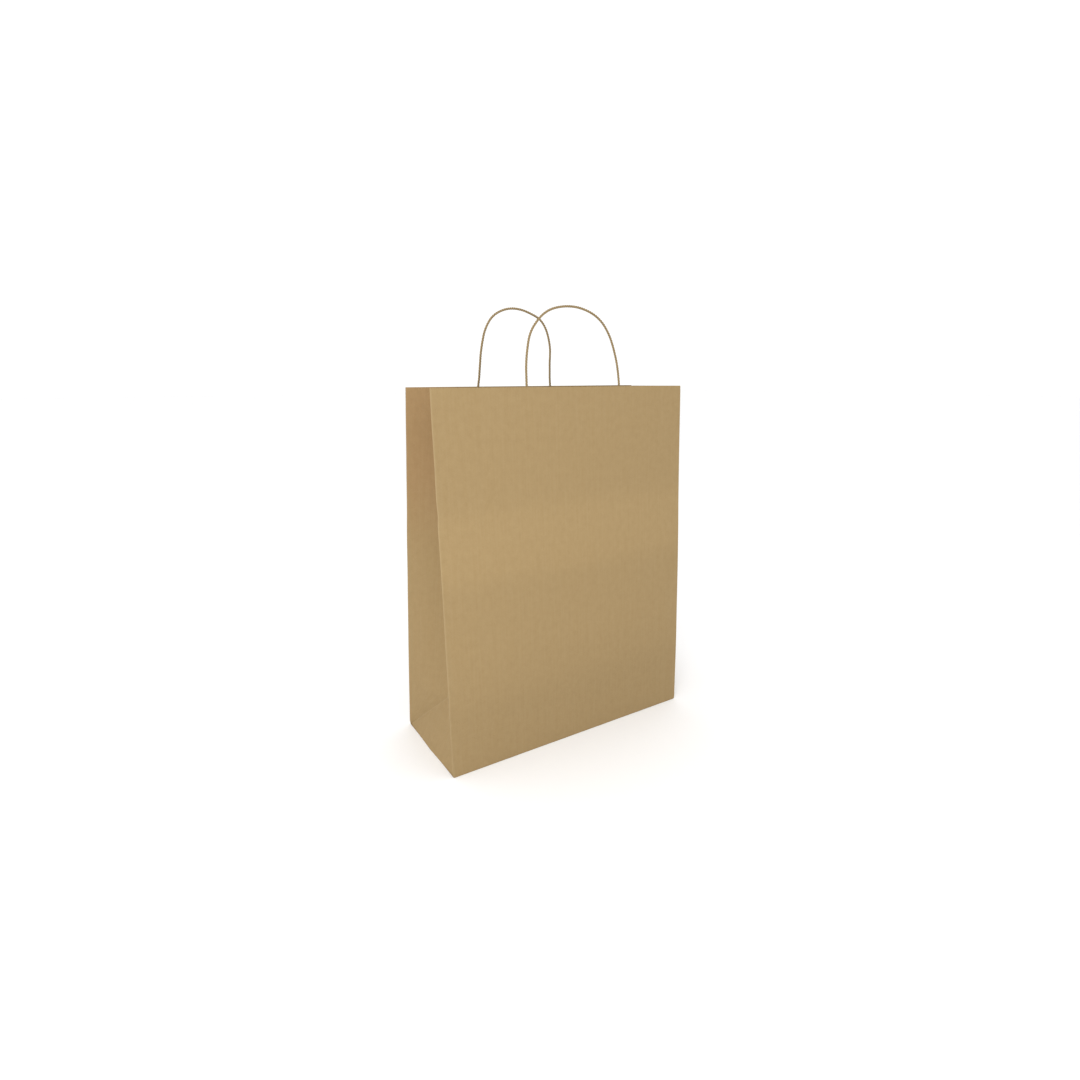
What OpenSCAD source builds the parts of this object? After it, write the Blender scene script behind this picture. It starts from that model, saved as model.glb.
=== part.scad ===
// Block-bottom kraft paper carrier bag, standing open, with two twisted paper cord handles.
// The origin is at the centre of the base, +Z up, and the front faces -Y.

/* [Bag] */
// Width of the front and back panels
bag_w = 350; // [260:5:540]
// Depth of the base from front to back
bag_d = 140; // [100:5:200]
// Height of the mouth above the base
bag_h = 440; // [240:5:600]

/* [Paper] */
// Thickness of the kraft paper
paper_t = 0.15; // [0.12:0.01:0.25]
// Thickness of a line of glue
glue_t = 0.1; // [0.08:0.01:0.2]
// Clearance at a crease between pieces that fold against each other
crease_gap = 0.3; // [0.2:0.05:0.6]

/* [Standing shape] */
// How far the front panel leans in at the mouth
front_lean = 21; // [10:1:30]
// How far the back panel leans in at the left end of the mouth
back_lean_left = 50; // [10:1:60]
// How far the back panel leans in at the right end of the mouth
back_lean_right = 20; // [10:1:60]

/* [Seam and base] */
// Width of the glued tab that closes the blank into a tube
seam_w = 20; // [12:1:30]
// Overlap of the two long bottom flaps
flap_overlap = 30; // [20:1:50]
// Length of the tuck flap folded in at each end of the base
tuck_len = 85; // [60:1:110]
// Size of the cut on a tuck flap's free corners
tuck_cut = 30; // [10:1:45]

/* [Handle patches] */
// Width of a patch strip
patch_w = 190; // [170:5:230]
// Height of a patch strip
patch_h = 50; // [40:1:70]
// Distance from the mouth's edge down to a patch strip
patch_drop = 2; // [1:0.5:6]
// Clearance between a cord and the strip that covers it
cover_gap = 0.1; // [0.05:0.05:0.3]

/* [Handle cords] */
// Diameter of the twisted paper cord
cord_d = 2.8; // [2.4:0.1:3.2]
// Length of each glued cord end, down from the mouth's edge
glued_len = 45; // [34:1:46]
// Clearance between a glued cord end and its free loop, each side of the mouth's edge
cord_gap = 1; // [0.5:0.1:2]

/* [Hidden] */

FRONT = -1;
BACK = 1;
LEFT = -1;
RIGHT = 1;

// Colours: outer kraft paper, patch paper and cord
kraft = "#b59c72";
patch_kraft = "#bfa67c";
cord_kraft = "#b8986a";

half_w = bag_w / 2;
half_d = bag_d / 2;
cord_r = cord_d / 2;

// Depths inward from a wall's outer face
backing_depth = paper_t + glue_t;
cover_depth = backing_depth + paper_t + glue_t;
cord_depth = cover_depth + cord_r;

// The gussets and the base stop this far inside a wall's outer face, clear of the seam tab
fold_inset = 2 * paper_t + glue_t + crease_gap;

// Numbers of cells across and up a warped panel, up a patch strip, and up a gusset
panel_cols = 14;
panel_rows = 14;
patch_rows = 2;
patch_cols = 6;
gusset_rows = 10;
diagonal_rows = 3;
cord_sides = 8;

// Free loops: distance right of the bag's centre, and height above the mouth.
// Each runs up its left leg, over the top and down its right leg.
front_loop_route = [
    [-58, 1], [-58, 10], [-58, 18.5], [-57.5, 27], [-56.5, 35.5], [-55, 44],
    [-53, 52.5], [-49.5, 60.5], [-44.5, 67.5], [-38.5, 74], [-31.5, 79.5],
    [-23.5, 83.5], [-15, 86], [-6, 87.5], [3, 88], [12, 87.5], [20.5, 86],
    [29, 83.5], [37, 80], [44, 75.5], [50, 70], [55, 63.5], [59.5, 56],
    [63, 48], [66, 39.5], [68.5, 31], [70.5, 22], [72, 12], [73, 1]
];
back_loop_route = [
    [-81, 1], [-80, 10], [-79.5, 18.5], [-79, 27], [-78.5, 35.5], [-77.5, 44],
    [-76, 52.5], [-74, 61], [-70.5, 69], [-65.5, 76.5], [-59, 82], [-51, 86],
    [-42.5, 88.5], [-33.5, 89.5], [-24.5, 89], [-16, 87.5], [-7.5, 85],
    [1, 82], [8.5, 77.5], [14.5, 71], [19, 63], [22, 54.5], [24, 46],
    [24.5, 37], [24.5, 28], [25, 19], [25.5, 10], [26.5, 1]
];

// ---- Shape of the standing bag ----

function mix(a, b, u) = a + (b - a) * u;

// How far a wall leans in at the mouth, at a distance x right of the centre
function lean(side, x) =
    side == FRONT ? front_lean : mix(back_lean_left, back_lean_right, x / bag_w + 0.5);

// A point on a wall, or on the wall continued above the mouth, at a depth inward from its face
function on_wall(side, x, z, depth) =
    [x, side * (half_d - lean(side, x) * z / bag_h - depth), z];

// The vertical edge where a wall meets a gusset
function wall_edge(side, end, z) = on_wall(side, end * half_w, z, 0);

// A gusset's two halves keep their width, so leaning walls push the centre crease inward
function crease(end, z) =
    let (front = wall_edge(FRONT, end, z), back = wall_edge(BACK, end, z))
    let (half_gap = (back.y - front.y) / 2)
    [end * (half_w - sqrt(half_d * half_d - half_gap * half_gap)), (front.y + back.y) / 2, z];

// Height where the centre crease meets the base triangle, whose own height is half the depth
function apex_z(end) =
    let (slope = (lean(FRONT, end * half_w) + lean(BACK, end * half_w)) / bag_h)
    let (a = 1 - slope * slope / 4, b = half_d * slope)
    (sqrt(b * b + 4 * a * half_d * half_d) - b) / (2 * a);

function apex(end) = crease(end, apex_z(end));

// The far side of a gusset half: the base diagonal up to the apex, and the crease above it
function gusset_inner(side, end, z) =
    z < apex_z(end) ? mix(wall_edge(side, end, 0), apex(end), z / apex_z(end)) : crease(end, z);

// ---- Thin sheets and tubes ----

function flatten(rows) = [for (row = rows) for (p = row) p];

// A closed sheet between two grids of points; flip turns its faces round
module skin(near, far, flip) {
    rows = len(near);
    cols = len(near[0]);
    count = rows * cols;
    grid = [
        for (i = [0 : rows - 2]) for (j = [0 : cols - 2])
            let (a = i * cols + j, b = a + cols)
            each [[a, b, b + 1], [a, b + 1, a + 1]]
    ];
    rim = concat(
        [for (j = [0 : cols - 1]) j],
        [for (i = [1 : rows - 1]) i * cols + cols - 1],
        [for (j = [cols - 2 : -1 : 0]) (rows - 1) * cols + j],
        [for (i = [rows - 2 : -1 : 1]) i * cols]
    );
    sides = [
        for (k = [0 : len(rim) - 1])
            let (a = rim[k], b = rim[(k + 1) % len(rim)])
            each [[a, b, b + count], [a, b + count, a + count]]
    ];
    back_grid = [for (f = grid) [f[2] + count, f[1] + count, f[0] + count]];
    faces = concat(grid, back_grid, sides);
    polyhedron(
        concat(flatten(near), flatten(far)),
        flip ? [for (f = faces) [f[2], f[1], f[0]]] : faces
    );
}

// A strip of a wall between two distances, two heights and two depths
module wall_strip(side, x0, x1, z0, z1, depth0, depth1, cols, rows) {
    function grid(depth) = [
        for (i = [0 : rows]) [
            for (j = [0 : cols]) on_wall(side, mix(x0, x1, j / cols), mix(z0, z1, i / rows), depth)
        ]
    ];
    skin(grid(depth0), grid(depth1), side == BACK);
}

function unit(v) = v / norm(v);

// A cord of round section along a route that stays close to a wall's plane
module cord(route, radius) {
    last = len(route) - 1;
    rings = [
        for (i = [0 : last])
            let (along = unit(route[min(i + 1, last)] - route[max(i - 1, 0)]))
            let (side = unit(cross(along, [0, 1, 0])), out = cross(side, along))
            [
                for (k = [0 : cord_sides - 1])
                    let (angle = 360 * k / cord_sides)
                    route[i] + radius * (cos(angle) * side + sin(angle) * out)
            ]
    ];
    walls = [
        for (i = [0 : last - 1]) for (k = [0 : cord_sides - 1])
            let (next = (k + 1) % cord_sides)
            let (a = i * cord_sides + k, b = i * cord_sides + next)
            each [[a, a + cord_sides, b + cord_sides], [a, b + cord_sides, b]]
    ];
    start_cap = [for (k = [0 : cord_sides - 1]) k];
    end_cap = [for (k = [cord_sides - 1 : -1 : 0]) last * cord_sides + k];
    polyhedron(flatten(rings), concat(walls, [start_cap, end_cap]));
}

// ---- Walls and gussets ----

module wall_panel(side, cols, rows) {
    wall_strip(side, -half_w, half_w, crease_gap, bag_h, 0, paper_t, cols, rows);
}

module gusset_half(side, end) {
    low = 4 * fold_inset;
    top_of_diagonal = apex_z(end);
    heights = concat(
        [for (i = [0 : diagonal_rows - 1]) mix(low, top_of_diagonal, i / diagonal_rows)],
        [for (i = [0 : gusset_rows]) mix(top_of_diagonal, bag_h, i / gusset_rows)]
    );
    rows = [
        for (z = heights)
            let (edge = wall_edge(side, end, z), inner = gusset_inner(side, end, z))
            let (along = unit(inner - edge))
            let (start = edge + along * fold_inset / abs(along.y))
            let (through = paper_t * [-end * abs(along.y), side * abs(along.x), 0])
            [start, inner, start + through, inner + through]
    ];
    skin([for (r = rows) [r[0], r[1]]], [for (r = rows) [r[2], r[3]]], side == end);
}

module base_triangle(end) {
    middle = [end * half_w, 0, 0];
    shrink = 1 - fold_inset / half_d;
    corner = [0, half_d * shrink, 0];
    tip = mix(middle, apex(end), shrink);
    through = [-end * paper_t * half_d / apex_z(end), 0, 0];
    near = [middle - corner, middle + corner, tip];
    faces = [[0, 1, 2], [5, 4, 3], [0, 3, 4], [0, 4, 1], [1, 4, 5], [1, 5, 2], [2, 5, 3], [2, 3, 0]];
    polyhedron(
        concat(near, [for (p = near) p + through]),
        end == RIGHT ? [for (f = faces) [f[2], f[1], f[0]]] : faces
    );
}

// ---- Base ----

// A long flap with 45 degree ends, from one wall's crease to a line beyond the middle
module bottom_flap(side, from_y, to_y, z) {
    function half_at(y) = half_w - fold_inset - (half_d - y);
    translate([0, 0, z])
        linear_extrude(paper_t)
            polygon([
                [-half_at(from_y), side * from_y],
                [half_at(from_y), side * from_y],
                [half_at(to_y), side * to_y],
                [-half_at(to_y), side * to_y]
            ]);
}

module tuck_flap(end) {
    outer_x = half_w - fold_inset;
    inner_x = half_w - tuck_len;
    wide = half_d - fold_inset;
    translate([0, 0, 2 * paper_t])
        linear_extrude(paper_t)
            polygon([
                [end * outer_x, -wide],
                [end * (inner_x + tuck_cut), -wide],
                [end * inner_x, -wide + tuck_cut],
                [end * inner_x, wide - tuck_cut],
                [end * (inner_x + tuck_cut), wide],
                [end * outer_x, wide]
            ]);
}

// ---- Handles ----

function loop_route(side) = side == FRONT ? front_loop_route : back_loop_route;

// Where the two legs of a handle cross the mouth's edge
function leg_x(side) = [loop_route(side)[0].x, loop_route(side)[len(loop_route(side)) - 1].x];

module handle_loop(side) {
    cord([for (p = loop_route(side)) on_wall(side, p.x, bag_h + p.y, cord_depth)], cord_r);
}

module handle_ends(side) {
    for (x = leg_x(side))
        cord(
            [
                on_wall(side, x, bag_h - glued_len, cord_depth),
                on_wall(side, x, bag_h - cord_gap, cord_depth)
            ],
            cord_r
        );
}

// Across a patch strip: distance from the bag's centre, and rise over the two cords
function patch_profile(side, reach) =
    let (legs = leg_x(side), middle = (legs[0] + legs[1]) / 2, foot = 2.6 * reach)
    let (arc = [for (angle = [-60 : 20 : 60]) [reach * sin(angle), cord_r + reach * cos(angle)]])
    concat(
        flat_run(middle - patch_w / 2, legs[0] - foot),
        [for (p = arc) [legs[0] + p.x, p.y]],
        flat_run(legs[0] + foot, legs[1] - foot),
        [for (p = arc) [legs[1] + p.x, p.y]],
        flat_run(legs[1] + foot, middle + patch_w / 2)
    );

// Points along the flat of a strip, close enough together to follow a twisted wall
function flat_run(from, to) = [for (i = [0 : patch_cols]) [from + (to - from) * i / patch_cols, 0]];

// A strip glued along a wall below the mouth; rise is 1 to follow the cords and 0 to lie flat
module patch_strip(side, depth, rise) {
    bottom = bag_h - patch_drop - patch_h;
    function grid(through) = [
        for (i = [0 : patch_rows]) [
            for (p = patch_profile(side, cord_r + cover_gap))
                on_wall(side, p.x, bottom + patch_h * i / patch_rows, depth + rise * p.y + through)
        ]
    ];
    skin(grid(0), grid(paper_t), side == BACK);
}

// ---- Sub-parts ----

module front_panel() { color(kraft) wall_panel(FRONT, 1, 1); }
module back_panel() { color(kraft) wall_panel(BACK, panel_cols, panel_rows); }
module side_seam_tab() {
    color(kraft)
        wall_strip(
            BACK, half_w - crease_gap - seam_w, half_w - crease_gap, crease_gap, bag_h,
            backing_depth, backing_depth + paper_t, 1, panel_rows
        );
}
module left_gusset_front() { color(kraft) gusset_half(FRONT, LEFT); }
module left_gusset_rear() { color(kraft) gusset_half(BACK, LEFT); }
module right_gusset_front() { color(kraft) gusset_half(FRONT, RIGHT); }
module right_gusset_rear() { color(kraft) gusset_half(BACK, RIGHT); }
module left_base_triangle() { color(kraft) base_triangle(LEFT); }
module right_base_triangle() { color(kraft) base_triangle(RIGHT); }
// The front flap steps up over the back flap, and glue holds the overlap
module front_bottom_flap() {
    crease_y = half_d - fold_inset;
    color(kraft) {
        bottom_flap(FRONT, crease_y, flap_overlap / 2, 0);
        bottom_flap(FRONT, flap_overlap / 2 + paper_t, -flap_overlap / 2, paper_t);
    }
}
module back_bottom_flap() {
    crease_y = half_d - fold_inset;
    color(kraft) bottom_flap(BACK, crease_y, -flap_overlap / 2 + crease_gap, 0);
}
module left_tuck_flap() { color(kraft) tuck_flap(LEFT); }
module right_tuck_flap() { color(kraft) tuck_flap(RIGHT); }
module front_handle_loop() { color(cord_kraft) handle_loop(FRONT); }
module back_handle_loop() { color(cord_kraft) handle_loop(BACK); }
module front_handle_ends() { color(cord_kraft) handle_ends(FRONT); }
module back_handle_ends() { color(cord_kraft) handle_ends(BACK); }
module front_patch_backing() { color(patch_kraft) patch_strip(FRONT, backing_depth, 0); }
module back_patch_backing() { color(patch_kraft) patch_strip(BACK, backing_depth, 0); }
module front_patch_cover() { color(patch_kraft) patch_strip(FRONT, cover_depth, 1); }
module back_patch_cover() { color(patch_kraft) patch_strip(BACK, cover_depth, 1); }

front_panel();
back_panel();
side_seam_tab();
left_gusset_front();
left_gusset_rear();
right_gusset_front();
right_gusset_rear();
left_base_triangle();
right_base_triangle();
front_bottom_flap();
back_bottom_flap();
left_tuck_flap();
right_tuck_flap();
front_handle_loop();
back_handle_loop();
front_handle_ends();
back_handle_ends();
front_patch_backing();
back_patch_backing();
front_patch_cover();
back_patch_cover();
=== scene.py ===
import math

import bpy
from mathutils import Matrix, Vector, noise


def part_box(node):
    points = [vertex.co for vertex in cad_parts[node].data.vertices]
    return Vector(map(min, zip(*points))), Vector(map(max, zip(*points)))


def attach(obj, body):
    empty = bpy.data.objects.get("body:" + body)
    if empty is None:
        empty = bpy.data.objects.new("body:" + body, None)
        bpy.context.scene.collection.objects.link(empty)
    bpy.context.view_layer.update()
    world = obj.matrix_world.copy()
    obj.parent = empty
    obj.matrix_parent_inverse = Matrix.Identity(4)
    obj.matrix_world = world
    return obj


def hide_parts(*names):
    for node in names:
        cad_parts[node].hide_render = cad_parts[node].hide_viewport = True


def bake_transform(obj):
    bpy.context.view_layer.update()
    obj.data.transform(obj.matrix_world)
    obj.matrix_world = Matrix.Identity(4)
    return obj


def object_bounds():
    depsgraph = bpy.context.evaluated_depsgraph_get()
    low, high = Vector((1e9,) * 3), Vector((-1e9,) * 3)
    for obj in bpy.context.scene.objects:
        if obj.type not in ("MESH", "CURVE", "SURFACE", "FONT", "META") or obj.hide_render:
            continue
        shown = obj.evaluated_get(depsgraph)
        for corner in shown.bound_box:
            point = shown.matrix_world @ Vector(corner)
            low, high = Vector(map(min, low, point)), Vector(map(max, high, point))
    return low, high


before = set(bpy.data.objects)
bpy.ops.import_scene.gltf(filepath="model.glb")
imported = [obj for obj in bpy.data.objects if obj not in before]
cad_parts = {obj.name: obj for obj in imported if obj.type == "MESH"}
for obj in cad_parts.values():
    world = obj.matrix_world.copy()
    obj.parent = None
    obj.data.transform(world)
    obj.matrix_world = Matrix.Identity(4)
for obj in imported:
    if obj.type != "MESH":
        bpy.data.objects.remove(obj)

bl_info = {
    "name": "Kraft carrier bag",
    "version": (1, 0, 0),
    "blender": (4, 5, 0),
    "location": "3D View > Sidebar > Carrier bag",
    "description": "Folds a kraft paper carrier bag with twisted cord handles around its frame",
    "category": "Object",
}

MM = 0.001
FRONT, BACK = -1, 1
LEFT, RIGHT = -1, 1
SIDE_NAMES = {FRONT: "front", BACK: "back"}
HALF_NAMES = {FRONT: "front", BACK: "rear"}
END_NAMES = {LEFT: "left", RIGHT: "right"}
CAD_BOX = [list(corner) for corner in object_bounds()]


# ---- The standing bag, worked out from the frame ----

def top_corner(side, end):
    """Where a wall's outer face ends at the mouth, at its left or right end."""
    node = SIDE_NAMES[side] + "_panel"
    low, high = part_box(node)
    points = [v.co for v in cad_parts[node].data.vertices]
    near = [p for p in points if p.z > high.z - 0.01 * MM and p.x * end > high.x - 0.01 * MM]
    return max(near, key=lambda p: p.y * side)


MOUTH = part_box("front_panel")[1].z
HALF_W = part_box("front_panel")[1].x
HALF_D = CAD_BOX[1][1]
LEANS = {
    (side, end): HALF_D - side * top_corner(side, end).y
    for side in (FRONT, BACK) for end in (LEFT, RIGHT)
}
LEG_ENDS = {side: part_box(SIDE_NAMES[side] + "_handle_ends") for side in (FRONT, BACK)}
PATCHES = {side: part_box(SIDE_NAMES[side] + "_patch_backing") for side in (FRONT, BACK)}
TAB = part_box("side_seam_tab")
FLAP_REACH = {side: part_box(SIDE_NAMES[side] + "_bottom_flap") for side in (FRONT, BACK)}
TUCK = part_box("left_tuck_flap")

# The free loops' own points: distance right of the bag's centre and height above the mouth
FRONT_LOOP = [
    (-0.058, 0.001), (-0.058, 0.01), (-0.058, 0.0185), (-0.0575, 0.027), (-0.0565, 0.0355),
    (-0.055, 0.044), (-0.053, 0.0525), (-0.0495, 0.0605), (-0.0445, 0.0675), (-0.0385, 0.074),
    (-0.0315, 0.0795), (-0.0235, 0.0835), (-0.015, 0.086), (-0.006, 0.0875), (0.003, 0.088),
    (0.012, 0.0875), (0.0205, 0.086), (0.029, 0.0835), (0.037, 0.08), (0.044, 0.0755),
    (0.05, 0.07), (0.055, 0.0635), (0.0595, 0.056), (0.063, 0.048), (0.066, 0.0395),
    (0.0685, 0.031), (0.0705, 0.022), (0.072, 0.012), (0.073, 0.001),
]
BACK_LOOP = [
    (-0.081, 0.001), (-0.08, 0.01), (-0.0795, 0.0185), (-0.079, 0.027), (-0.0785, 0.0355),
    (-0.0775, 0.044), (-0.076, 0.0525), (-0.074, 0.061), (-0.0705, 0.069), (-0.0655, 0.0765),
    (-0.059, 0.082), (-0.051, 0.086), (-0.0425, 0.0885), (-0.0335, 0.0895), (-0.0245, 0.089),
    (-0.016, 0.0875), (-0.0075, 0.085), (0.001, 0.082), (0.0085, 0.0775), (0.0145, 0.071),
    (0.019, 0.063), (0.022, 0.0545), (0.024, 0.046), (0.0245, 0.037), (0.0245, 0.028),
    (0.025, 0.019), (0.0255, 0.01), (0.0265, 0.001),
]
LOOPS = {FRONT: FRONT_LOOP, BACK: BACK_LOOP}

# Soft swell of a wall: height above the base, and how far the paper stands in from straight
SWELL = [
    (0, 0), (30 * MM, -0.3 * MM), (105 * MM, -2.8 * MM), (180 * MM, -3.0 * MM),
    (240 * MM, -2.8 * MM), (305 * MM, -0.6 * MM), (360 * MM, -0.2 * MM), (MOUTH, 0),
]
SWELL_SHARE = {FRONT: 1.0, BACK: 0.6}
RIPPLE = 0.35 * MM
RIPPLE_SIZE = 85 * MM
UNDER_RADIUS = 0.8 * MM
# A base triangle stops just short of its point, and a gusset half starts just above the base
TRIANGLE_TIP = 0.995
GUSSET_FOOT = 0.8 * MM
# How deep each hidden layer lies behind the outer face of its wall
TAB_DEPTH = 0.3 * MM
BACKING_DEPTH = 0.3 * MM
COVER_DEPTH = 0.6 * MM
CORD_DEPTH = 0.5 * MM
PATCH_THICKNESS = 0.15 * MM
# How wide a sheet is worn pale beside a fold, and how far the base fold lies below its foot
WORN_WIDTH = 0.8 * MM
FOLD_OFFSET = 0.4 * MM
# The clear gap between a bottom flap and the curled foot of its wall, and the corners cut off a tuck
FLAP_GAP = 0.15 * MM
TUCK_CUT = 30 * MM


def mix(a, b, share):
    return a + (b - a) * share


def clamp(x, low=0.0, high=1.0):
    return min(max(x, low), high)


def smooth(x):
    x = clamp(x)
    return x * x * (3 - 2 * x)


def ripple(seed, x, z, size=RIPPLE_SIZE):
    """A slow random wave from -1 to 1 over a sheet, the same in every run."""
    return noise.noise(Vector((x / size, z / size, 7.3 * seed)))


def along_knots(knots, z):
    """A smooth line through a few hand-set points."""
    for (z0, y0), (z1, y1) in zip(knots, knots[1:]):
        if z <= z1:
            return mix(y0, y1, smooth((z - z0) / (z1 - z0)))
    return knots[-1][1]


def under(z):
    """How far a sheet curls under where it turns into the base."""
    if z >= UNDER_RADIUS:
        return 0.0
    return UNDER_RADIUS - math.sqrt(UNDER_RADIUS ** 2 - (UNDER_RADIUS - z) ** 2)


def worn(near):
    """How far a sheet is worn pale, from 0 to 1, at a distance from its nearest fold."""
    return math.exp(-(near / WORN_WIDTH) ** 2)


def lean(side, x):
    """How far a wall leans in by the mouth, at a place across it."""
    return mix(LEANS[side, LEFT], LEANS[side, RIGHT], x / (2 * HALF_W) + 0.5)


def relief(side, x, z):
    """How far the paper of a wall stands in from a straight wall."""
    inner = 0.45 + 0.55 * (1 - (x / HALF_W) ** 4)
    calm = smooth(z / (25 * MM)) * smooth((MOUTH - z) / (70 * MM))
    swell = SWELL_SHARE[side] * inner * along_knots(SWELL, z)
    return swell + RIPPLE * calm * ripple(side + 3, x, z)


def wall_y(side, x, z, depth=0.0):
    return side * (HALF_D - lean(side, x) * z / MOUTH - relief(side, x, z) - under(z) - depth)


def on_wall(side, x, z, depth=0.0):
    """A point on a wall, or on the wall continued above the mouth."""
    return Vector((x, wall_y(side, x, z, depth), z))


def edge_wave(side, end, z):
    """How far a vertical fold stands in from straight: slow waves, one small dent, a blunt foot."""
    calm = smooth(z / (20 * MM)) * smooth((MOUTH - z) / (20 * MM))
    wave = 0.35 * MM * ripple(side + 2 * end + 11, 0, z, 60 * MM)
    dent = 0.0
    if (side, end) == (FRONT, LEFT):
        dent = 0.8 * MM * math.exp(-((z - 309 * MM) / (8 * MM)) ** 2)
    foot = 1.2 * MM * clamp(1 - z / (7 * MM)) ** 2
    return calm * wave + dent + foot


def wall_edge(side, end, z):
    """The fold between a wall and a gusset, in plan."""
    x = end * (HALF_W - edge_wave(side, end, z) - under(z))
    return Vector((x, wall_y(side, end * HALF_W, z)))


def crease(end, z):
    """The gusset's centre crease in plan: its halves keep their width, so a lean pushes it in."""
    front_y = -HALF_D + LEANS[FRONT, end] * z / MOUTH
    back_y = HALF_D - LEANS[BACK, end] * z / MOUTH
    half_gap = (back_y - front_y) / 2
    push = math.sqrt(max(HALF_D ** 2 - half_gap ** 2, 0))
    wobble = 0.5 * MM * ripple(end + 21, 0, z, 70 * MM) * smooth((z - apex_z(end)) / (40 * MM))
    return Vector((end * (HALF_W - push + wobble), (front_y + back_y) / 2))


def apex_z(end):
    """Height where the centre crease meets the base triangle."""
    slope = (LEANS[FRONT, end] + LEANS[BACK, end]) / MOUTH
    a = 1 - slope * slope / 4
    b = HALF_D * slope
    return (math.sqrt(b * b + 4 * a * HALF_D * HALF_D) - b) / (2 * a)


def diagonal(side, end, z):
    """The fold between a base triangle and a gusset half, in plan."""
    return wall_edge(side, end, 0).lerp(crease(end, apex_z(end)), z / apex_z(end))


def gusset_inner(side, end, z):
    """The inner edge of a gusset half in plan: the base triangle's fold, then the centre crease."""
    return diagonal(side, end, z) if z < apex_z(end) else crease(end, z)


def fold_arc(corner, along, other, radius, share):
    """A point of one half of a rounded fold: share 0 is where the flat sheet ends, 1 the middle."""
    middle = (along + other).normalized()
    half = along.angle(other) / 2
    centre = corner + middle * (radius / math.sin(half))
    to_flat = corner + along * (radius / math.tan(half)) - centre
    return centre + radius * to_flat.slerp(-middle, share)


# Painted light and shade up the front wall: a paler band of painted light across the middle, and
# painted shade darker towards the foot
PAINTED_SHADING_KNOTS = [
    (0, -0.30), (65 * MM, -0.30), (110 * MM, -0.12), (150 * MM, -0.02), (212 * MM, -0.02),
    (242 * MM, 0.26), (290 * MM, 0.26), (325 * MM, 0.0), (MOUTH, 0.0),
]


def no_painted_light(point):
    """The painted light and shade, and painted bounce light, of a sheet that has neither."""
    return 0.0, 0.0


def front_painted_shading(point):
    """The front wall's painted light and shade, a little darker towards its right."""
    return along_knots(PAINTED_SHADING_KNOTS, clamp(point.z, 0, MOUTH)) - 0.10 * point.x / HALF_W, 0.0


def gusset_painted_bounce(point):
    """A gusset's painted redness, standing in for light bounced between its halves, from none at 230
    mm to its full share at 360 mm.
    """
    return 0.0, 0.5 * smooth((point.z - 230 * MM) / (130 * MM))


# ---- Colours and materials ----

def linear(hex_colour):
    """An sRGB hex colour as linear RGBA."""
    parts = [int(hex_colour[i:i + 2], 16) / 255 for i in (1, 3, 5)]
    return [p / 12.92 if p <= 0.04045 else ((p + 0.055) / 1.055) ** 2.4 for p in parts] + [1.0]


def add(tree, kind, links=None, **settings):
    """Adds a node with its settings, and links its inputs to other nodes' outputs."""
    node = tree.nodes.new(kind)
    for key, value in settings.items():
        if key.startswith("in_"):
            name = key[3:]
            socket = node.inputs[int(name)] if name.isdigit() else node.inputs[name.replace("_", " ")]
            socket.default_value = value
        else:
            setattr(node, key, value)
    for name, source in (links or {}).items():
        tree.links.new(source, node.inputs[name])
    return node


def scaled(tree, vector, across, along, turn=0.0):
    """Coordinates for a pattern whose cells are across by along metres, turned in the sheet."""
    turned = add(tree, "ShaderNodeVectorRotate", {"Vector": vector},
                 rotation_type="Z_AXIS", in_Angle=turn)
    return add(tree, "ShaderNodeVectorMath", {0: turned.outputs[0]},
               operation="MULTIPLY", in_1=(1 / across, 1 / along, 1)).outputs[0]


def ramp(tree, value, stops):
    """A ramp from grey to grey, set by (place, grey) stops."""
    node = add(tree, "ShaderNodeValToRGB", {"Fac": value})
    line = node.color_ramp
    while len(line.elements) < len(stops):
        line.elements.new(0.5)
    for element, (place, grey) in zip(line.elements, stops):
        element.position = place
        element.color = (grey, grey, grey, 1)
    return node.outputs["Color"]


def tint(tree, colour, share, hex_colour, blend="MIX"):
    """Mixes a colour towards another by a share."""
    node = add(tree, "ShaderNodeMix", data_type="RGBA", blend_type=blend)
    tree.links.new(share, node.inputs["Factor"])
    tree.links.new(colour, node.inputs["A"])
    node.inputs["B"].default_value = linear(hex_colour)
    return node.outputs["Result"]


def start_material(name):
    material = bpy.data.materials.new(name)
    material.use_nodes = True
    tree = material.node_tree
    tree.nodes.clear()
    shader = add(tree, "ShaderNodeBsdfPrincipled")
    output = add(tree, "ShaderNodeOutputMaterial", {"Surface": shader.outputs[0]})
    output.location = (300, 0)
    return material, tree, shader


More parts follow.
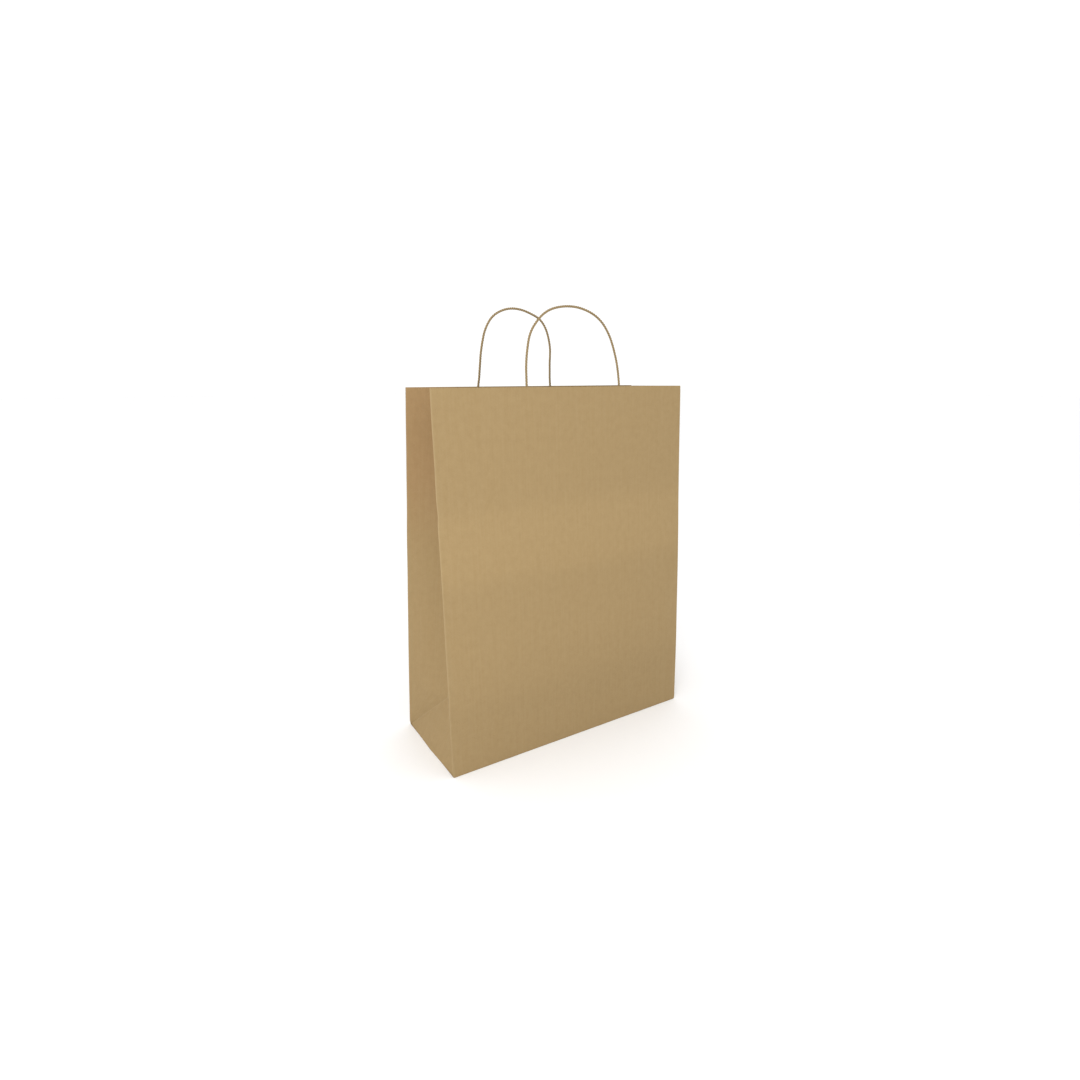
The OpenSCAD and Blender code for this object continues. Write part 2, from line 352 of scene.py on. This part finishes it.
def kraft_paper(name, base, dark, light):
    """Unbleached kraft paper off a Fourdrinier machine: a matt sheet of long brown fibres.

    The eye sees cloudy formation, faint streaks along the machine's direction, scattered
    fibres and bark flecks, and paler, broken fibres where the sheet is folded.
    """
    material, tree, shader = start_material(name)
    flat = add(tree, "ShaderNodeUVMap", uv_map="UVMap").outputs[0]
    # Formation clouds of about 7 mm
    clouds = add(tree, "ShaderNodeTexNoise", {"Vector": scaled(tree, flat, 7 * MM, 9 * MM)},
                 in_Scale=1.0, in_Detail=4.0, in_Roughness=0.6).outputs["Fac"]
    # Machine streaks, 2.5 mm apart and some 90 mm long
    streaks = add(tree, "ShaderNodeTexNoise", {"Vector": scaled(tree, flat, 2.5 * MM, 90 * MM)},
                  in_Scale=1.0, in_Detail=2.0).outputs["Fac"]
    # Fibres are 0.03 mm wide; they are drawn 0.25 mm wide and 3 mm long, so that they show
    fibres = [
        add(tree, "ShaderNodeTexNoise", {"Vector": scaled(tree, flat, 0.25 * MM, 3 * MM, turn)},
            in_Scale=1.0, in_Detail=1.0).outputs["Fac"]
        for turn in (math.radians(-24), math.radians(31))
    ]
    # Bark flecks up to 0.7 mm, about one in a cell of 5 mm
    flecks = add(tree, "ShaderNodeTexVoronoi", {"Vector": scaled(tree, flat, 5 * MM, 5 * MM)},
                 in_Scale=1.0).outputs["Distance"]
    shader_colour = add(tree, "ShaderNodeRGB")
    shader_colour.outputs[0].default_value = linear(base)
    colour = shader_colour.outputs[0]
    colour = tint(tree, colour, ramp(tree, clouds, [(0.35, 0.0), (0.7, 0.16)]), dark)
    colour = tint(tree, colour, ramp(tree, streaks, [(0.4, 0.0), (0.7, 0.07)]), light)
    colour = tint(tree, colour, ramp(tree, fibres[0], [(0.58, 0.0), (0.7, 0.16)]), dark)
    colour = tint(tree, colour, ramp(tree, fibres[1], [(0.6, 0.0), (0.72, 0.18)]), light)
    colour = tint(tree, colour, ramp(tree, flecks, [(0.03, 0.3), (0.07, 0.0)]), dark)
    folded = add(tree, "ShaderNodeAttribute", attribute_name="fold").outputs["Fac"]
    colour = tint(tree, colour, ramp(tree, folded, [(0.0, 0.0), (1.0, 0.2)]), light)
    # Painted bounce light: a tint which makes the tops of the gussets a little redder, as light
    # reflected in the fold would
    painted_bounce = add(tree, "ShaderNodeAttribute", attribute_name="painted_bounce").outputs["Fac"]
    colour = tint(tree, colour, painted_bounce, "#f8e5e0", "MULTIPLY")
    # Painted light and shade: a tone from -1 to 1 scales the colour by 0.8 to 1.2
    painted_shading = add(tree, "ShaderNodeAttribute", attribute_name="painted_shading").outputs["Fac"]
    shade = add(tree, "ShaderNodeMapRange", {"Value": painted_shading}, clamp=False,
                in_1=-1.0, in_3=0.8, in_4=1.2)
    colour = add(tree, "ShaderNodeVectorMath", {0: colour, "Scale": shade.outputs[0]},
                 operation="SCALE").outputs[0]
    tree.links.new(colour, shader.inputs["Base Color"])
    height = add(tree, "ShaderNodeMath", {0: clouds, 1: fibres[0]}, operation="ADD").outputs[0]
    bump = add(tree, "ShaderNodeBump", {"Height": height}, in_Strength=0.35, in_Distance=0.06 * MM)
    tree.links.new(bump.outputs[0], shader.inputs["Normal"])
    rough = add(tree, "ShaderNodeMapRange", {"Value": fibres[1]}, in_3=0.74, in_4=0.88)
    tree.links.new(rough.outputs[0], shader.inputs["Roughness"])
    shader.inputs["IOR"].default_value = 1.45
    shader.inputs["Specular IOR Level"].default_value = 0.35
    return material


def twisted_paper(name, base, dark, light):
    """Kraft paper yarn, rolled from a strip and twisted in threes: matt, with pale wrapped edges.

    The eye sees the rolled strip's edge wind round each yarn; the grooves between the yarns are
    darkened with painted shade.
    """
    material, tree, shader = start_material(name)
    flat = add(tree, "ShaderNodeUVMap", uv_map="UVMap").outputs[0]
    # The rolled strip's edge comes round every 4 mm of yarn
    wraps = add(tree, "ShaderNodeTexNoise", {"Vector": scaled(tree, flat, 0.9 * MM, 4 * MM, 0.5)},
                in_Scale=1.0, in_Detail=3.0, in_Roughness=0.6).outputs["Fac"]
    fibres = add(tree, "ShaderNodeTexNoise", {"Vector": scaled(tree, flat, 0.2 * MM, 2.5 * MM, 0.5)},
                 in_Scale=1.0, in_Detail=1.0).outputs["Fac"]
    groove_shade = add(tree, "ShaderNodeAttribute", attribute_name="groove_shade").outputs["Fac"]
    start = add(tree, "ShaderNodeRGB")
    start.outputs[0].default_value = linear(base)
    colour = tint(tree, start.outputs[0], ramp(tree, wraps, [(0.4, 0.0), (0.7, 0.5)]), light)
    colour = tint(tree, colour, ramp(tree, fibres, [(0.55, 0.0), (0.72, 0.4)]), dark)
    # Painted shade: the grooves between the yarns are darkened
    colour = tint(tree, colour, ramp(tree, groove_shade, [(0.2, 0.0), (1.0, 0.6)]), dark)
    tree.links.new(colour, shader.inputs["Base Color"])
    height = add(tree, "ShaderNodeMath", {0: wraps, 1: fibres}, operation="ADD").outputs[0]
    bump = add(tree, "ShaderNodeBump", {"Height": height}, in_Strength=0.5, in_Distance=0.1 * MM)
    tree.links.new(bump.outputs[0], shader.inputs["Normal"])
    shader.inputs["Roughness"].default_value = 0.8
    shader.inputs["IOR"].default_value = 1.45
    return material


# ---- Sheets and cords ----

def spread(length, cells, ends=(0.6 * MM, 1.5 * MM, 3.5 * MM)):
    """Places along a sheet from 0 to length, closer together near both ends."""
    close = [e for e in ends if e < length * 0.2]
    first = close[-1] if close else 0.0
    middle = [mix(first, length - first, i / cells) for i in range(cells + 1)]
    start = [0.0] + close[:-1] if close else []
    return start + middle + [length - s for s in reversed(start)]


def paper_sheet(name, columns, rows, place, outward, thickness, material, painted_light_of=no_painted_light):
    """A sheet of paper. place(column, row) gives its point, its place in the blank and its fold."""
    bpy.ops.object.select_all(action="DESELECT")
    bpy.ops.mesh.primitive_grid_add(x_subdivisions=columns, y_subdivisions=rows, size=1)
    sheet = bpy.context.object
    sheet.name = name
    mesh = sheet.data
    mesh.name = name
    fold = mesh.attributes.new("fold", "FLOAT", "POINT")
    # Per point: painted light and shade, and a painted bounce-light redness
    painted_shading = mesh.attributes.new("painted_shading", "FLOAT", "POINT")
    painted_bounce = mesh.attributes.new("painted_bounce", "FLOAT", "POINT")
    blank = []
    for v in mesh.vertices:
        column = round((v.co.x + 0.5) * columns)
        row = round((v.co.y + 0.5) * rows)
        point, on_blank, folded = place(column, row)
        v.co = point
        fold.data[v.index].value = folded
        painted_shading.data[v.index].value, painted_bounce.data[v.index].value = painted_light_of(point)
        blank.append(on_blank)
    for loop, uv in zip(mesh.loops, mesh.uv_layers.active.data):
        uv.uv = blank[loop.vertex_index]
    mesh.uv_layers.active.name = "UVMap"
    middle = mesh.polygons[len(mesh.polygons) // 2]
    if middle.normal.dot(Vector(outward)) < 0:
        mesh.flip_normals()
    thick = sheet.modifiers.new("Paper thickness", "SOLIDIFY")
    thick.thickness = thickness
    thick.offset = -1
    bpy.ops.object.modifier_apply(modifier=thick.name)
    bpy.ops.object.shade_smooth_by_angle(angle=math.radians(35))
    mesh.materials.append(material)
    return sheet


def finish_piece(piece, nodes, body=None, bend=None):
    """Ties a piece to its body, or, where it would bend between two bodies, only bakes its place into
    its mesh; hides the CAD nodes it stands for.
    """
    if bend:
        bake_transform(piece)
    else:
        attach(piece, body)
    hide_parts(*nodes)


def catmull(points, step):
    """A smooth line through points, with a point about every step."""
    ends = [2 * points[0] - points[1]] + points + [2 * points[-1] - points[-2]]
    line = []
    for a, b, c, d in zip(ends, ends[1:], ends[2:], ends[3:]):
        count = max(1, round((c - b).length / step))
        for i in range(count):
            t = i / count
            line.append(0.5 * (2 * b + (c - a) * t + (2 * a - 5 * b + 4 * c - d) * t ** 2
                               + (3 * b - a - 3 * c + d) * t ** 3))
    return line + [points[-1]]


def twisted_cord(name, line, radius, lay, strands, material):
    """Round yarns twisted together along a line, each a closed tube, with lay metres to a turn."""
    yarn = radius / (1 + 1 / math.sin(math.pi / strands))
    yarn_ring = radius - yarn
    around = 12  # sides of a yarn
    press = 1.06  # how much thicker each yarn is, so that yarns press into each other
    points, faces, places, groove_shades = [], [], [], []
    gone = [0.0]
    for a, b in zip(line, line[1:]):
        gone.append(gone[-1] + (b - a).length)
    for strand in range(strands):
        first = len(points)
        for i, p in enumerate(line):
            along = (line[min(i + 1, len(line) - 1)] - line[max(i - 1, 0)]).normalized()
            side = along.cross(Vector((0, 1, 0))).normalized()
            out = side.cross(along)
            turn = 2 * math.pi * (gone[i] / lay + strand / strands)
            away = side * math.cos(turn) + out * math.sin(turn)
            for k in range(around):
                angle = turn + 2 * math.pi * k / around
                spoke = side * math.cos(angle) + out * math.sin(angle)
                points.append(p + yarn_ring * away + press * yarn * spoke)
                places.append((2 * math.pi * yarn * k / around + 0.02 * strand, gone[i]))
                # How far into the groove between yarns a point lies, for the painted shade there
                groove_shades.append(0.5 - 0.5 * spoke.dot(away))
        for i in range(len(line) - 1):
            for k in range(around):
                a, b = first + i * around + k, first + i * around + (k + 1) % around
                faces.append((a, a + around, b + around, b))
        faces.append([first + k for k in range(around)])
        last = first + (len(line) - 1) * around
        faces.append([last + k for k in reversed(range(around))])
    mesh = bpy.data.meshes.new(name)
    mesh.from_pydata(points, [], faces)
    mesh.uv_layers.new(name="UVMap")
    for loop, uv in zip(mesh.loops, mesh.uv_layers.active.data):
        uv.uv = places[loop.vertex_index]
    groove_shade = mesh.attributes.new("groove_shade", "FLOAT", "POINT")
    groove_shade.data.foreach_set("value", groove_shades)
    cord = bpy.data.objects.new(name, mesh)
    bpy.context.collection.objects.link(cord)
    bpy.ops.object.select_all(action="DESELECT")
    cord.select_set(True)
    bpy.context.view_layer.objects.active = cord
    bpy.ops.object.mode_set(mode="EDIT")
    bpy.ops.mesh.select_all(action="SELECT")
    bpy.ops.mesh.normals_make_consistent(inside=False)
    bpy.ops.object.mode_set(mode="OBJECT")
    bpy.ops.object.shade_smooth_by_angle(angle=math.radians(50))
    mesh.materials.append(material)
    return cord


# ---- Settings ----

class CarrierBagPaper(bpy.types.PropertyGroup):
    thickness: bpy.props.FloatProperty(
        name="Thickness", description="Thickness of the kraft sheet",
        default=0.2 * MM, min=0.1 * MM, unit="LENGTH", precision=5)
    fold_radius: bpy.props.FloatProperty(
        name="Fold radius", description="Radius of a fold between two panels",
        default=0.6 * MM, min=0.2 * MM, unit="LENGTH", precision=5)
    base: bpy.props.StringProperty(
        name="Paper", description="sRGB hex colour of the sheet", default="#9b835b")
    dark: bpy.props.StringProperty(
        name="Dark fibres", description="sRGB hex colour of dark fibres and flecks", default="#7b603a")
    light: bpy.props.StringProperty(
        name="Pale fibres", description="sRGB hex colour of pale fibres and folds", default="#af9c79")


class CarrierBagCord(bpy.types.PropertyGroup):
    diameter: bpy.props.FloatProperty(
        name="Diameter", description="Diameter of the twisted cord",
        default=2.8 * MM, min=1 * MM, unit="LENGTH", precision=5)
    lay: bpy.props.FloatProperty(
        name="Lay", description="Length of cord in which a yarn goes once round",
        default=9 * MM, min=3 * MM, unit="LENGTH", precision=5)
    strands: bpy.props.IntProperty(
        name="Yarns", description="Number of paper yarns in the cord", default=3, min=2, max=4)
    base: bpy.props.StringProperty(
        name="Yarn", description="sRGB hex colour of the yarn", default="#97815a")
    # This colour is used for the dark fibres and for the painted shade in the grooves between yarns
    dark: bpy.props.StringProperty(
        name="Grooves", description="sRGB hex colour in the grooves", default="#6a5336")
    light: bpy.props.StringProperty(
        name="Wrapped edges", description="sRGB hex colour of the strip's edges", default="#b3a07c")


class CarrierBagStage(bpy.types.PropertyGroup):
    floor: bpy.props.StringProperty(
        name="Floor", description="sRGB hex colour of the floor", default="#f7f7f7")
    sky: bpy.props.FloatProperty(
        name="Sky", description="Strength of the even light from all round", default=1.08, min=0)
    key: bpy.props.FloatProperty(
        name="Key light", description="Power of the large soft light", default=9, unit="POWER", min=0)


def paper():
    return bpy.context.scene.carrier_bag_paper


def sheet_material():
    found = bpy.data.materials.get("kraft_paper_machine_made")
    return found or kraft_paper("kraft_paper_machine_made", paper().base, paper().dark, paper().light)


# ---- Pieces ----

ARC = (1.0, 0.75, 0.5, 0.25)


def low_heights(top, cells):
    """Heights from the base to the mouth, closer together where a sheet curls under."""
    curl = [UNDER_RADIUS * share for share in (0.0, 0.08, 0.3, 0.62)]
    return curl + [mix(UNDER_RADIUS, top, i / cells) for i in range(cells + 1)]


def wall_panel(side):
    radius = paper().fold_radius
    places = spread(2 * HALF_W, 84)
    columns = [(LEFT, share) for share in ARC] + places + [(RIGHT, share) for share in reversed(ARC)]
    heights = low_heights(MOUTH, 110)

    def flat_start(end, z):
        corner = wall_edge(side, end, z)
        step = corner.x - end * 2 * MM
        along = (Vector((step, wall_y(side, step, z))) - corner).normalized()
        wide = max(z, 4 * MM)  # lower down, the gusset is too narrow to give a direction
        other = gusset_inner(side, end, wide) - wall_edge(side, end, wide)
        return corner, along, other.normalized()

    def place(column, row):
        z = heights[row]
        item = columns[column]
        if isinstance(item, tuple):
            end, share = item
            corner, along, other = flat_start(end, z)
            point = fold_arc(corner, along, other, radius, share)
            return Vector((*point, z)), (end * HALF_W, z), 1.0
        ends = []
        for end in (LEFT, RIGHT):
            corner, along, other = flat_start(end, z)
            ends.append(fold_arc(corner, along, other, radius, 0.0).x)
        x = mix(ends[0], ends[1], item / (2 * HALF_W))
        near = min(item, 2 * HALF_W - item, z + FOLD_OFFSET)
        return on_wall(side, x, z), (item - HALF_W, z), worn(near)

    name = SIDE_NAMES[side]
    # Only the front wall gets painted light and shade
    sheet = paper_sheet(name + "_panel_paper", len(columns) - 1, len(heights) - 1, place,
                        (0, side, 0), paper().thickness, sheet_material(),
                        front_painted_shading if side == FRONT else no_painted_light)
    finish_piece(sheet, [name + "_panel"], body=name + "_wall")


class BAG_OT_wall_panels(bpy.types.Operator):
    """Make the front and back panels, gently swelled and curled under at the base"""
    bl_idname = "carrier_bag.wall_panels"
    bl_label = "Wall panels"

    def execute(self, context):
        wall_panel(FRONT)
        wall_panel(BACK)
        return {"FINISHED"}


class BAG_OT_seam_tab(bpy.types.Operator):
    """Make the glued tab that closes the blank along the back panel's right edge"""
    bl_idname = "carrier_bag.seam_tab"
    bl_label = "Seam tab"

    def execute(self, context):
        low, high = TAB
        columns, rows = 8, 110
        heights = [mix(1 * MM, MOUTH - 0.2 * MM, i / rows) for i in range(rows + 1)]

        def place(column, row):
            z = heights[row]
            x = mix(low.x, high.x - 1 * MM, column / columns)
            return on_wall(BACK, x, z, TAB_DEPTH), (2 * HALF_W + x, z), 0.0

        tab = paper_sheet("side_seam_tab_paper", columns, rows, place, (0, 1, 0),
                          paper().thickness, sheet_material())
        finish_piece(tab, ["side_seam_tab"], body="back_wall")
        return {"FINISHED"}


def bend_between(side, end):
    """The bodies and the line, square to the centre crease, along which a gusset half bends."""
    wall = SIDE_NAMES[side] + "_wall"
    fold_y = crease(end, MOUTH).y
    still = Vector((0, fold_y, MOUTH))
    reach = abs(wall_y(side, end * HALF_W, MOUTH) - fold_y) - 1.5 * MM
    moving = still + side * reach * Vector((0, MOUTH, -fold_y)).normalized()
    return "base", wall, still, moving


def gusset_half(side, end):
    radius = paper().fold_radius
    top = apex_z(end)
    places = spread(HALF_D, 20)
    columns = [("edge", s) for s in ARC] + places + [("inner", s) for s in reversed(ARC)]
    heights = [mix(GUSSET_FOOT, top, i / 22) for i in range(22)]
    heights += [mix(top, MOUTH, i / 90) for i in range(91)]

    def place(column, row):
        z = heights[row]
        item = columns[column]
        edge, inner = wall_edge(side, end, z), gusset_inner(side, end, z)
        width = (inner - edge).length
        along = (inner - edge).normalized()
        edge_r = min(radius, 0.15 * width)
        inner_r = max(0.03 * MM, min(radius, 0.15 * width) * smooth((z - top) / (12 * MM)))
        panel_way = Vector((-end, 0))
        other = Vector((end, 0))
        if z >= top:
            other = (wall_edge(-side, end, z) - inner).normalized()
        if isinstance(item, tuple):
            if item[0] == "edge":
                point = fold_arc(edge, along, panel_way, edge_r, item[1])
                return Vector((*point, z)), (end * HALF_W, z), 1.0
            point = fold_arc(inner, -along, other, inner_r, item[1])
            return Vector((*point, z)), (end * (HALF_W + HALF_D), z), 1.0
        start = fold_arc(edge, along, panel_way, edge_r, 0.0)
        stop = fold_arc(inner, -along, other, inner_r, 0.0)
        share = item / HALF_D
        wave = ripple(side + 3 * end + 31, item, z, 55 * MM)
        sag = 0.9 * MM * math.sin(math.pi * share) * wave
        sag *= smooth(width / HALF_D)
        across = Vector((-along.y, along.x))
        point = start.lerp(stop, share) + across * sag
        near = min(share * width, (1 - share) * width)
        return Vector((*point, z)), (end * (HALF_W + item), z), worn(near)

    name = END_NAMES[end] + "_gusset_" + HALF_NAMES[side]
    # The gusset halves carry painted bounce light, a redder tint near the top
    sheet = paper_sheet(name + "_paper", len(columns) - 1, len(heights) - 1, place,
                        (end, 0, 0), paper().thickness, sheet_material(), gusset_painted_bounce)
    finish_piece(sheet, [name], bend=bend_between(side, end))


class BAG_OT_gussets(bpy.types.Operator):
    """Make the four gusset halves; on a bag they bend as the mouth opens and closes"""
    bl_idname = "carrier_bag.gussets"
    bl_label = "Gussets"

    def execute(self, context):
        for end in (LEFT, RIGHT):
            for side in (FRONT, BACK):
                gusset_half(side, end)
        return {"FINISHED"}


def base_triangle_half(side, end):
    top = apex_z(end)
    heights = low_heights(top * TRIANGLE_TIP, 24)
    columns = 24

    def place(column, row):
        z = heights[row]
        share = column / columns
        foot = Vector((end * (HALF_W - under(z)), 0))
        middle = foot.lerp(crease(end, top), z / top)
        outer = diagonal(side, end, z)
        point = middle.lerp(outer, share)
        width = (outer - middle).length
        near = min((1 - share) * width, z + FOLD_OFFSET)
        flat = (end * (HALF_W + HALF_D * (1 - share * (1 - z / top))), z)
        return Vector((*point, z)), flat, worn(near)

    node = END_NAMES[end] + "_base_triangle"
    sheet = paper_sheet(node + "_" + HALF_NAMES[side] + "_paper", columns, len(heights) - 1, place,
                        (end, 0, 0), paper().thickness, sheet_material())
    finish_piece(sheet, [node], bend=bend_between(side, end))


class BAG_OT_base_triangles(bpy.types.Operator):
    """Make the folded triangle above the base at each end"""
    bl_idname = "carrier_bag.base_triangles"
    bl_label = "Base triangles"

    def execute(self, context):
        for end in (LEFT, RIGHT):
            for side in (FRONT, BACK):
                base_triangle_half(side, end)
        return {"FINISHED"}


class BAG_OT_bottom_flaps(bpy.types.Operator):
    """Make the two long bottom flaps, glued where they overlap"""
    bl_idname = "carrier_bag.bottom_flaps"
    bl_label = "Bottom flaps"

    def execute(self, context):
        columns, rows = 60, 40
        for side in (FRONT, BACK):
            low, high = FLAP_REACH[side]
            free_edge = high.y if side == FRONT else low.y

            def place(column, row):
                y = mix(side * (HALF_D - UNDER_RADIUS - FLAP_GAP), free_edge, row / rows)
                half = HALF_W - 1.4 * MM - (HALF_D - UNDER_RADIUS - side * y)
                x = mix(-half, half, column / columns)
                rise = 0.0
                if side == FRONT:
                    # The front flap climbs over the back flap's free edge
                    past = y - FLAP_REACH[BACK][0].y + 3 * MM
                    rise = 0.22 * MM * smooth(past / (3 * MM))
                fold = math.exp(-(row / 1.5) ** 2)
                return Vector((x, y, rise)), (x, -side * y - 2 * HALF_D), fold

            name = SIDE_NAMES[side] + "_bottom_flap"
            flap = paper_sheet(name + "_paper", columns, rows, place, (0, 0, -1),
                               paper().thickness, sheet_material())
            finish_piece(flap, [name], body="base")
        return {"FINISHED"}


class BAG_OT_tuck_flaps(bpy.types.Operator):
    """Make the flap tucked in over the long flaps at each end"""
    bl_idname = "carrier_bag.tuck_flaps"
    bl_label = "Tuck flaps"

    def execute(self, context):
        outer_x, inner_x = -TUCK[0].x, -TUCK[1].x
        half = TUCK[1].y
        columns, rows = 34, 34
        for end in (LEFT, RIGHT):

            def place(column, row):
                x = mix(outer_x - 0.5 * MM, inner_x, column / columns)
                wide = half - 0.3 * MM - max(0.0, TUCK_CUT - (x - inner_x))
                y = mix(-wide, wide, row / rows)
                lift = 0.44 * MM + 0.8 * MM * smooth((outer_x - 25 * MM - x) / (60 * MM))
                wave = 1 + ripple(end + 41, x, y, 45 * MM)
                lift += 0.25 * MM * wave * smooth((outer_x - x) / (30 * MM))
                return Vector((end * x, y, lift)), (end * (x + HALF_W), y), 0.0

            name = END_NAMES[end] + "_tuck_flap"
            flap = paper_sheet(name + "_paper", columns, rows, place, (0, 0, -1), paper().thickness,
                               sheet_material())
            finish_piece(flap, [name], body="base")
        return {"FINISHED"}


def leg_places(side):
    return LOOPS[side][0][0], LOOPS[side][-1][0]


def patch_rise(side, x, reach):
    """How far the cover strip stands off to pass over the two cords."""
    rise = 0.0
    for leg in leg_places(side):
        away = abs(x - leg)
        if away < 0.8 * reach:
            rise = max(rise, reach + math.sqrt(reach ** 2 - away ** 2))
        else:
            rise = max(rise, 1.6 * reach * (1 - smooth((away - 0.8 * reach) / (2.2 * reach))))
    return rise


class BAG_OT_handle_patches(bpy.types.Operator):
    """Make the backing strip and the cover strip that hold each handle's ends"""
    bl_idname = "carrier_bag.handle_patches"
    bl_label = "Handle patches"

    def execute(self, context):
        cord = context.scene.carrier_bag_cord
        reach = cord.diameter / 2 + 0.1 * MM
        for side in (FRONT, BACK):
            low, high = PATCHES[side]
            xs = [mix(low.x, high.x, i / 60) for i in range(61)]
            for leg in leg_places(side):
                xs += [leg + reach * k / 4 for k in range(-14, 15)]
            xs = sorted(x for x in xs if low.x <= x <= high.x)
            xs = [x for i, x in enumerate(xs) if i == 0 or x - xs[i - 1] > 0.12 * MM]
            rows = 24
            for kind, depth, rises in (("backing", BACKING_DEPTH, 0), ("cover", COVER_DEPTH, 1)):

                def place(column, row):
                    x = xs[column]
                    z = mix(low.z, high.z, row / rows)
                    crinkle = 0.12 * MM * (1 + ripple(side + 51, x, z, 14 * MM)) * rises
                    rise = rises * patch_rise(side, x, reach) + crinkle
                    return on_wall(side, x, z, depth + rise), (x, z + 0.1 * depth / MM), 0.0

                name = SIDE_NAMES[side] + "_patch_" + kind
                strip = paper_sheet(name + "_paper", len(xs) - 1, rows, place, (0, side, 0),
                                    PATCH_THICKNESS, patch_material())
                finish_piece(strip, [name], body=SIDE_NAMES[side] + "_wall")
        return {"FINISHED"}


def patch_material():
    """A paler sheet of the same paper, for the strips inside the mouth."""
    found = bpy.data.materials.get("kraft_patch_paper")
    return found or kraft_paper("kraft_patch_paper", "#a28b63", paper().dark, "#b6a286")


def cord_line(side, depth):
    """The cord's centreline, from one glued end over the loop to the other."""
    loop = LOOPS[side]
    foot = LEG_ENDS[side][0].z
    steps = [mix(foot, MOUTH, i / 6) for i in range(6)]
    up = [on_wall(side, loop[0][0], z, depth) for z in steps]
    over = [on_wall(side, x, MOUTH + h, depth) for x, h in loop]
    down = [on_wall(side, loop[-1][0], z, depth) for z in reversed(steps)]
    return up + over + down


class BAG_OT_handle_cords(bpy.types.Operator):
    """Make the two twisted paper cords; on a bag their loops fold at the mouth's edge"""
    bl_idname = "carrier_bag.handle_cords"
    bl_label = "Handle cords"

    def execute(self, context):
        cord = context.scene.carrier_bag_cord
        depth = CORD_DEPTH + cord.diameter / 2
        material = twisted_paper("twisted_kraft_paper_yarn", cord.base, cord.dark, cord.light)
        for side in (FRONT, BACK):
            name = SIDE_NAMES[side]
            line = catmull(cord_line(side, depth), 0.7 * MM)
            piece = twisted_cord(name + "_handle_twisted_cord", line, cord.diameter / 2, cord.lay,
                                 cord.strands, material)
            nodes = [name + "_handle_loop", name + "_handle_ends"]
            middle = sum(leg_places(side)) / 2
            bend = (name + "_wall", name + "_handle", on_wall(side, middle, MOUTH - 2.5 * MM),
                    on_wall(side, middle, MOUTH + 3 * MM))
            finish_piece(piece, nodes, bend=bend)
        return {"FINISHED"}


# ---- Stage ----

def soft_light(name, place, aim, size, power):
    data = bpy.data.lights.new(name, "AREA")
    data.shape = "DISK"
    data.size = size
    data.energy = power
    lamp = bpy.data.objects.new(name, data)
    lamp.location = place
    lamp.rotation_euler = (Vector(aim) - Vector(place)).to_track_quat("-Z", "Y").to_euler()
    bpy.context.collection.objects.link(lamp)


class BAG_OT_stage(bpy.types.Operator):
    """Set the pale floor, the soft studio light and the camera"""
    bl_idname = "carrier_bag.stage"
    bl_label = "Stage"

    def execute(self, context):
        stage = context.scene.carrier_bag_stage
        bpy.ops.object.select_all(action="DESELECT")
        bpy.ops.mesh.primitive_plane_add(size=40, location=(0, 0, -0.05 * MM))
        floor = context.object
        floor.name = "studio_floor"
        material, tree, shader = start_material("painted_studio_floor")
        shader.inputs["Base Color"].default_value = linear(stage.floor)
        shader.inputs["Roughness"].default_value = 0.9
        shader.inputs["Specular IOR Level"].default_value = 0.2
        floor.data.materials.append(material)

        world = bpy.data.worlds.new("even_white")
        context.scene.world = world
        world.use_nodes = True
        background = world.node_tree.nodes["Background"]
        background.inputs["Color"].default_value = (1, 1, 1, 1)
        background.inputs["Strength"].default_value = stage.sky
        soft_light("key_softbox", (-0.9, -0.95, 1.15), (-0.05, 0, 0.3), 0.7, stage.key)

        data = bpy.data.cameras.new("studio_camera")
        data.sensor_width = 36
        data.lens = 20.67
        data.clip_start = 0.01
        camera = bpy.data.objects.new("studio_camera", data)
        camera.location = (-0.4227, -0.6542, 0.4488)
        camera.rotation_euler = (math.radians(75.43), math.radians(0.08), math.radians(-32.19))
        context.collection.objects.link(camera)
        context.scene.camera = camera
        context.scene.view_settings.view_transform = "Standard"
        return {"FINISHED"}


PIECES = [
    BAG_OT_wall_panels, BAG_OT_seam_tab, BAG_OT_gussets, BAG_OT_base_triangles,
    BAG_OT_bottom_flaps, BAG_OT_tuck_flaps, BAG_OT_handle_patches, BAG_OT_handle_cords,
    BAG_OT_stage,
]


class BAG_PT_maker(bpy.types.Panel):
    """Lists the bag's settings and its pieces in the order they are made"""
    bl_idname = "BAG_PT_maker"
    bl_label = "Carrier bag"
    bl_space_type = "VIEW_3D"
    bl_region_type = "UI"
    bl_category = "Carrier bag"

    def draw(self, context):
        for group, names in (
            (context.scene.carrier_bag_paper, ("thickness", "fold_radius", "base", "dark", "light")),
            (context.scene.carrier_bag_cord,
             ("diameter", "lay", "strands", "base", "dark", "light")),
            (context.scene.carrier_bag_stage, ("floor", "sky", "key")),
        ):
            box = self.layout.box()
            for name in names:
                box.prop(group, name)
        for piece in PIECES:
            self.layout.operator(piece.bl_idname)


CLASSES = [CarrierBagPaper, CarrierBagCord, CarrierBagStage, *PIECES, BAG_PT_maker]


def register():
    for kind in CLASSES:
        bpy.utils.register_class(kind)
    bpy.types.Scene.carrier_bag_paper = bpy.props.PointerProperty(type=CarrierBagPaper)
    bpy.types.Scene.carrier_bag_cord = bpy.props.PointerProperty(type=CarrierBagCord)
    bpy.types.Scene.carrier_bag_stage = bpy.props.PointerProperty(type=CarrierBagStage)


def unregister():
    del bpy.types.Scene.carrier_bag_paper
    del bpy.types.Scene.carrier_bag_cord
    del bpy.types.Scene.carrier_bag_stage
    for kind in reversed(CLASSES):
        bpy.utils.unregister_class(kind)


def main():
    register()
    for piece in PIECES:
        group, name = piece.bl_idname.split(".")
        getattr(getattr(bpy.ops, group), name)()


if __name__ == "__main__":
    main()
